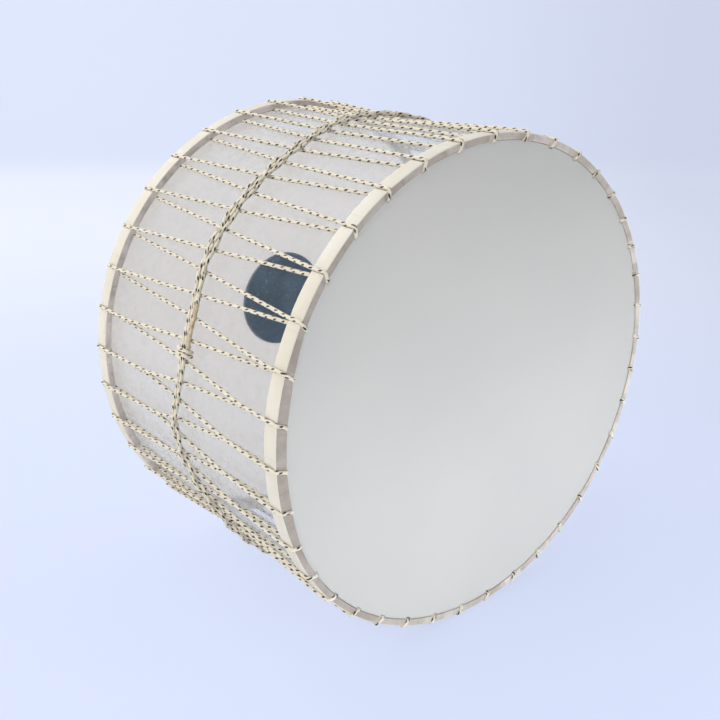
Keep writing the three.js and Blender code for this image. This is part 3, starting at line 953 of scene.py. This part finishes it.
hoop_face = make_hoop_face()
# The front end's tones darken to the left as painted shade; the rear end's pale tones are painted light
front_end = make_hoop_end("front_hoop_end_worn_with_painted_shade", tone(210, 202, 192), tone(176, 164, 155), 0.6)
rear_end = make_hoop_end("rear_hoop_end_worn_with_painted_light", tone(236, 228, 224), tone(220, 208, 204), 0.0)
for hoop_piece, end_finish in ((front_hoop, front_end), (rear_hoop, rear_end)):
    hoop_piece.data.materials.append(hoop_face)
    hoop_piece.data.materials.append(end_finish)
print("hoop finishes:", hoop_face.name, front_end.name, rear_end.name)

# %% [markdown]
# ## The clear shell
# The shell is a 3 mm sheet of clear plastic, rolled and joined on the far side. A flat-shaded tube
# would show its facets in every reflection, so a smooth one takes its place, with the slight waves
# that a rolled sheet has.

# %% Roll the shell
SHELL_STEPS = 456
SHELL_BANDS = 24
SHELL_WAVE = 0.22 * MM
SHELL_WAVES = [(7, 9, 0.5), (13, -21, 0.3), (23, 0, 0.2)]
SHELL_SINKS = 0.6


def shell_wave(a, y, start):
    """The slight waves of a rolled sheet, which die away at both rims and never stand proud."""
    inside = np.sin((y - start) / (DRUM_DEPTH - 2 * start) * math.pi)
    waves = sum(np.sin(turns * a + drift * y) * share for turns, drift, share in SHELL_WAVES)
    return SHELL_WAVE * inside * (waves - SHELL_SINKS)


def make_shell():
    """The rolled sheet, with an outer and an inner face and closed rims."""
    start = FILM_RECESS + FILM + GAP
    places = np.linspace(start, DRUM_DEPTH - start, SHELL_BANDS + 1)
    degrees = np.arange(SHELL_STEPS) / SHELL_STEPS * 360
    wave = shell_wave(np.radians(degrees)[:, None], places[None], start)
    across = np.broadcast_to(places[None], wave.shape)
    outer = around(SHELL_OUTER + wave, degrees[:, None], across)
    inner = around(SHELL_INNER + wave, degrees[:, None], across)
    points = np.concatenate([outer.reshape(-1, 3), inner.reshape(-1, 3)])
    width = SHELL_BANDS + 1
    inner_from = SHELL_STEPS * width
    faces = []
    for i in range(SHELL_STEPS):
        here, after = i * width, (i + 1) % SHELL_STEPS * width
        for k in range(SHELL_BANDS):
            a, b, c, e = here + k, here + k + 1, after + k + 1, after + k
            faces.append((a, b, c, e))
            faces.append((inner_from + e, inner_from + c, inner_from + b, inner_from + a))
        faces.append((here, after, inner_from + after, inner_from + here))
        a, b = after + SHELL_BANDS, here + SHELL_BANDS
        faces.append((a, b, inner_from + b, inner_from + a))
    sheet = link_mesh("clear_shell", points.tolist(), faces)
    print("clear shell faces:", len(faces))
    return sheet


clear_shell = make_shell()
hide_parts("shell")
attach(clear_shell, "root")

# %% [markdown]
# Clear sheet is mostly see-through. It mirrors more at a glancing angle, which the facing output of
# a Layer Weight node gives once it is raised to the fifth power. Fine scratches and a haze of dust
# catch the light. The strip that joins the sheet is the same plastic, only hazier from its glue.

# %% Finish the clear sheet
HEAD_ON_SHINE = 0.024
GLANCING_SHINE = 0.85


def make_clear(name, haze_colour, haze_amount):
    sheet = Finish(name)
    place = sheet.place()
    waves = sheet.noise(sheet.stretch(place, (9.0, 2.2, 9.0)), 1.0, 2.0, 0.4)
    dust = sheet.noise(place, 60.0, 5.0, 0.7)
    scratches = sheet.noise(sheet.stretch(place, (420.0, 9.0, 420.0)), 1.0, 2.0)
    ripple = sheet.bump(waves, 0.5, 6 * MM, sheet.bump(scratches, 0.08, 0.1 * MM))
    gloss = sheet.spread(dust, 0.3, 0.7, 0.16, 0.34)
    sheet.set(Base_Color=haze_colour, Roughness=gloss, Normal=ripple, Metallic=0.8)
    clear = sheet.add("ShaderNodeBsdfTransparent", {"Color": (0.99, 0.992, 0.995, 1.0)}).outputs[0]
    facing = sheet.add("ShaderNodeLayerWeight", {"Normal": ripple}).outputs["Facing"]
    glancing = sheet.math("MULTIPLY", sheet.math("POWER", facing, 5.0), GLANCING_SHINE)
    edge = sheet.math("ADD", glancing, HEAD_ON_SHINE)
    haze = sheet.spread(dust, 0.35, 0.75, haze_amount * 0.5, haze_amount * 1.6)
    amount = sheet.math("ADD", edge, haze, clamp=True)
    return sheet.show_two(amount, clear, sheet.shader.outputs[0])


clear_sheet = make_clear("clear_sheet", tone(240, 242, 246), 0.014)
clear_shell.data.materials.append(clear_sheet)
strip_sheet = make_clear("bonded_strip", tone(232, 234, 238), 0.06)


def dress(node_name, material):
    """Gives a measured piece its finish."""
    node = nodes[node_name]
    if not node.material_slots:
        node.data.materials.append(material)
    for slot in node.material_slots:
        slot.material = material


dress("shell_joint_strip", strip_sheet)
print("clear finish nodes:", len(clear_sheet.node_tree.nodes))

# %% [markdown]
# ## The heads
# Both heads are white plastic film with a rough coating, so that a brush or stick has something to
# bite on. The flat pieces of the measured model are right as they are, down to the holes for the
# cord, and only need a finish: near white, satin, with a very fine tooth and the faint cloudy marks
# of handling. Some light passes through such a film. A translucent share in the finish does this,
# so the daylight behind the drum brightens its inside.

# %% Finish the heads
def make_film(name, let_through, white_tones):
    film = Finish(name)
    place = film.place()
    tooth = film.noise(place, 1500.0, 3.0, 0.6)
    clouds = film.noise(place, 7.0, 4.0, 0.5)
    rubbed = film.noise(film.stretch(place, (40.0, 1.0, 14.0)), 1.0, 3.0)
    white = film.mix(film.spread(clouds, 0.3, 0.7), *white_tones)
    colour = film.mix(film.spread(rubbed, 0.5, 0.8, 0.0, 0.10), white, tone(204, 202, 197))
    relief = film.bump(tooth, 0.12, 0.08 * MM, film.bump(clouds, 0.06, 1.5 * MM))
    film.set(Base_Color=colour, Roughness=film.spread(tooth, 0.3, 0.7, 0.42, 0.56), Normal=relief,
             Specular_IOR_Level=0.4)
    passing = {"Color": tone(249, 246, 241), "Normal": relief}
    through = film.add("ShaderNodeBsdfTranslucent", passing).outputs[0]
    return film.show_two(let_through, film.shader.outputs[0], through)


# Both heads are the same white film; the front head's greyer white is painted shade
front_film = make_film("front_film", 0.2, (tone(204, 202, 197), tone(199, 197, 193)))
rear_film = make_film("rear_film", 0.68, (tone(226, 223, 218), tone(221, 219, 214)))
dress("front_head", front_film)
dress("rear_head", rear_film)
print("heads finished with", front_film.name, "and", rear_film.name)

# %% [markdown]
# ## The pickup
# A dark slate-blue disc is stuck to the inner face of the rear head with a foam pad. The pad is a
# little wider, and shows as a thin pale rim. The disc is smooth plastic with dust and a few rub
# marks on it.

# %% Finish the pickup
def make_disc():
    disc = Finish("pickup_disc_plastic")
    place = disc.place()
    smudge = disc.noise(place, 34.0, 5.0, 0.65)
    rubs = disc.noise(disc.stretch(place, (60.0, 1.0, 260.0)), 1.0, 3.0, 0.6)
    colour = disc.mix(disc.spread(smudge, 0.35, 0.75), tone(40, 76, 100), tone(66, 106, 132))
    colour = disc.mix(disc.spread(rubs, 0.58, 0.8, 0.0, 0.4), colour, tone(140, 166, 184))
    specks = disc.noise(place, 300.0, 2.0)
    colour = disc.mix(disc.spread(specks, 0.66, 0.74, 0.0, 0.6), colour, tone(150, 176, 192))
    relief = disc.bump(rubs, 0.1, 0.1 * MM)
    return disc.set(Base_Color=colour, Roughness=disc.spread(smudge, 0.3, 0.7, 0.28, 0.5), Normal=relief)


def make_foam():
    foam = Finish("pickup_foam")
    bubbles = {"Vector": foam.place(), "Scale": 900.0}
    cells = foam.add("ShaderNodeTexVoronoi", bubbles).outputs["Distance"]
    colour = foam.mix(foam.spread(cells, 0.1, 0.6), tone(168, 176, 184), tone(138, 147, 156))
    return foam.set(Base_Color=colour, Roughness=0.9, Normal=foam.bump(cells, 0.4, 0.2 * MM))


dress("pickup_disc", make_disc())
dress("pickup_pad", make_foam())
print("pickup finished")

# %% [markdown]
# ## The floor
# The drum was photographed on a pale blue-white sweep in soft daylight from the upper left. The
# sweep is a large floor that curves up into a wall. Part of what the camera sees of it is its own
# plain colour, so that it stays pale, and the rest is lit, so that the drum still casts its soft
# shadow on it. The floor is turned with the camera, so that its wall stands square behind the drum.

# %% Lay the floor and the wall
FLOOR_NEAR = -5.0
WALL_FAR = 2.15
WALL_CURVE = 0.12
WALL_TOP = 4.0
SWEEP_HALF_WIDTH = 6.0
CURVE_STEPS = 13
OWN_COLOUR_SHARE = 0.8
TURNED = math.radians(CAMERA_AZIMUTH)
TO_RIGHT = (math.cos(TURNED), math.sin(TURNED), 0.0)
TO_WALL = (-math.sin(TURNED), math.cos(TURNED), 0.0)


def make_sweep_mesh():
    profile = [(FLOOR_NEAR, 0.0), (WALL_FAR, 0.0)]
    for a in np.radians(np.linspace(0, 90, CURVE_STEPS)[1:]):
        profile.append((WALL_FAR + WALL_CURVE * math.sin(a), WALL_CURVE - WALL_CURVE * math.cos(a)))
    profile.append((WALL_FAR + WALL_CURVE, WALL_TOP))
    points, faces = [], []
    for far, height in profile:
        for side in (-SWEEP_HALF_WIDTH, SWEEP_HALF_WIDTH):
            points.append((side * TO_RIGHT[0] + far * TO_WALL[0],
                           side * TO_RIGHT[1] + far * TO_WALL[1], height))
    for i in range(len(profile) - 1):
        faces.append((2 * i, 2 * i + 1, 2 * i + 3, 2 * i + 2))
    return link_mesh("pale_sweep", points, faces)


def make_sweep_finish():
    paper = Finish("pale_sweep")
    place = paper.place()

    def distance_along(way):
        inputs = {0: place, 1: way}
        return paper.add("ShaderNodeVectorMath", inputs, operation="DOT_PRODUCT").outputs["Value"]

    # One paper throughout: painted light makes it paler far off, and painted shade darkens it to the
    # right
    drift = paper.spread(paper.noise(place, 0.9, 2.0), 0.35, 0.65)
    upright = paper.smooth_spread(paper.parts_of(place)[2], 0.0, 0.1)
    painted_light_far_off = paper.smooth_spread(distance_along(TO_WALL), 0.2, 1.7)
    painted_shade_at_right = paper.smooth_spread(distance_along(TO_RIGHT), 0.0, 1.1, 0.0, 0.75)
    near_colour = paper.mix(drift, tone(219, 228, 252), tone(215, 224, 249))
    floor_colour = paper.mix(painted_light_far_off, near_colour, tone(232, 237, 252))
    colour = paper.mix(upright, floor_colour, tone(219, 227, 248))
    colour = paper.mix(painted_shade_at_right, colour, tone(207, 214, 236))

    # The camera sees blue paper, but light bounces off it as off a paler and plainer one
    rays = paper.add("ShaderNodeLightPath").outputs
    lit_colour = paper.mix(rays["Is Camera Ray"], tone(236, 236, 238), colour)
    paper.set(Base_Color=lit_colour, Roughness=0.9, Specular_IOR_Level=0.1)

    # The camera, mirrors and clear plastic see most of it in its own colour, lit or not
    glow = paper.add("ShaderNodeEmission", {"Color": colour, "Strength": 1.0}).outputs[0]
    seen = paper.math("MAXIMUM", rays["Is Camera Ray"], rays["Is Glossy Ray"])
    seen = paper.math("MAXIMUM", seen, rays["Is Transmission Ray"])
    share = paper.math("MULTIPLY", seen, OWN_COLOUR_SHARE)
    return paper.show_two(share, paper.shader.outputs[0], glow)


sweep = make_sweep_mesh()
sweep.data.materials.append(make_sweep_finish())
print("sweep is", [round(v, 1) for v in sweep.dimensions], "m")

# %% [markdown]
# ## The light
# The daylight is a window at the left and the sky above, with a weaker lamp for the room in front.
# A lamp behind the drum lights the rear film. Two low, bluish lamps stand for the light that the
# pale floor throws on the front head, which is why the head is brighter towards its lower edge.
# Some lamps are hidden from mirrors, because the clear shell would show them as hard white bars.

# %% Hang the lamps
HEAD_ABOVE_MIDDLE = (0.0, -0.17, 0.4)
HEAD_FOOT = (0.0, -0.17, 0.06)
HEAD_FOOT_HIGHER = (0.0, -0.17, 0.08)


def hang_lamp(name, place, aim, size, power, colour, mirrored=True, spread=180.0):
    """A rectangular lamp that shines from a place towards an aim."""
    lamp = bpy.data.lights.new(name, "AREA")
    lamp.shape = "RECTANGLE"
    lamp.size, lamp.size_y = size
    lamp.energy = power
    lamp.color = colour
    lamp.spread = math.radians(spread)
    thing = bpy.data.objects.new(name, lamp)
    thing.location = place
    thing.rotation_euler = (Vector(aim) - Vector(place)).to_track_quat("-Z", "Y").to_euler()
    thing.visible_glossy = mirrored
    bpy.context.scene.collection.objects.link(thing)


hang_lamp("window_left", (-2.4, -0.1, 1.9), DRUM_MIDDLE,
          size=(1.8, 1.4), power=40.0, colour=(1.0, 0.99, 0.97))
hang_lamp("sky_above", (0.2, 0.8, 3.0), DRUM_MIDDLE,
          size=(3.0, 2.4), power=27.0, colour=(1.0, 1.0, 1.0))
hang_lamp("room_front", (0.9, -1.9, 1.2), HEAD_ABOVE_MIDDLE,
          size=(1.8, 0.7), power=6.0, colour=(0.94, 0.97, 1.0), mirrored=False)
hang_lamp("window_behind", (-0.9, 2.2, 1.5), DRUM_MIDDLE,
          size=(1.6, 1.2), power=36.0, colour=(1.0, 0.99, 0.975), mirrored=False)
hang_lamp("far_bounce", (0.35, -1.1, 0.10), HEAD_FOOT_HIGHER,
          size=(1.2, 0.2), power=1.2, colour=(0.9, 0.95, 1.0), mirrored=False)
hang_lamp("near_bounce", (0.06, -0.75, 0.12), HEAD_FOOT,
          size=(1.2, 0.12), power=1.9, colour=(0.84, 0.91, 1.0), mirrored=False, spread=120.0)

# %% [markdown]
# The rest of the light comes evenly from the world, at less than half strength, so that the shadows
# stay soft and yet show. Where a view looks past the sweep, the camera sees a pale blue in its
# place, which adds no light to the drum. The Standard view keeps the colours as they are written.

# %% Fill the room with soft light
ROOM_STRENGTH = 0.42


def make_room():
    room = bpy.data.worlds.new("soft_room")
    room.use_nodes = True
    nodes, links = room.node_tree.nodes, room.node_tree.links
    room_light = nodes["Background"]
    room_light.inputs["Color"].default_value = tone(240, 242, 246)
    room_light.inputs["Strength"].default_value = ROOM_STRENGTH
    far_paper = nodes.new("ShaderNodeBackground")
    far_paper.inputs["Color"].default_value = tone(206, 214, 238)
    rays = nodes.new("ShaderNodeLightPath")
    choice = nodes.new("ShaderNodeMixShader")
    links.new(rays.outputs["Is Camera Ray"], choice.inputs["Fac"])
    links.new(room_light.outputs[0], choice.inputs[1])
    links.new(far_paper.outputs[0], choice.inputs[2])
    links.new(choice.outputs[0], nodes["World Output"].inputs["Surface"])
    return room


bpy.context.scene.world = make_room()
bpy.context.scene.view_settings.view_transform = "Standard"
print("room light strength:", ROOM_STRENGTH)
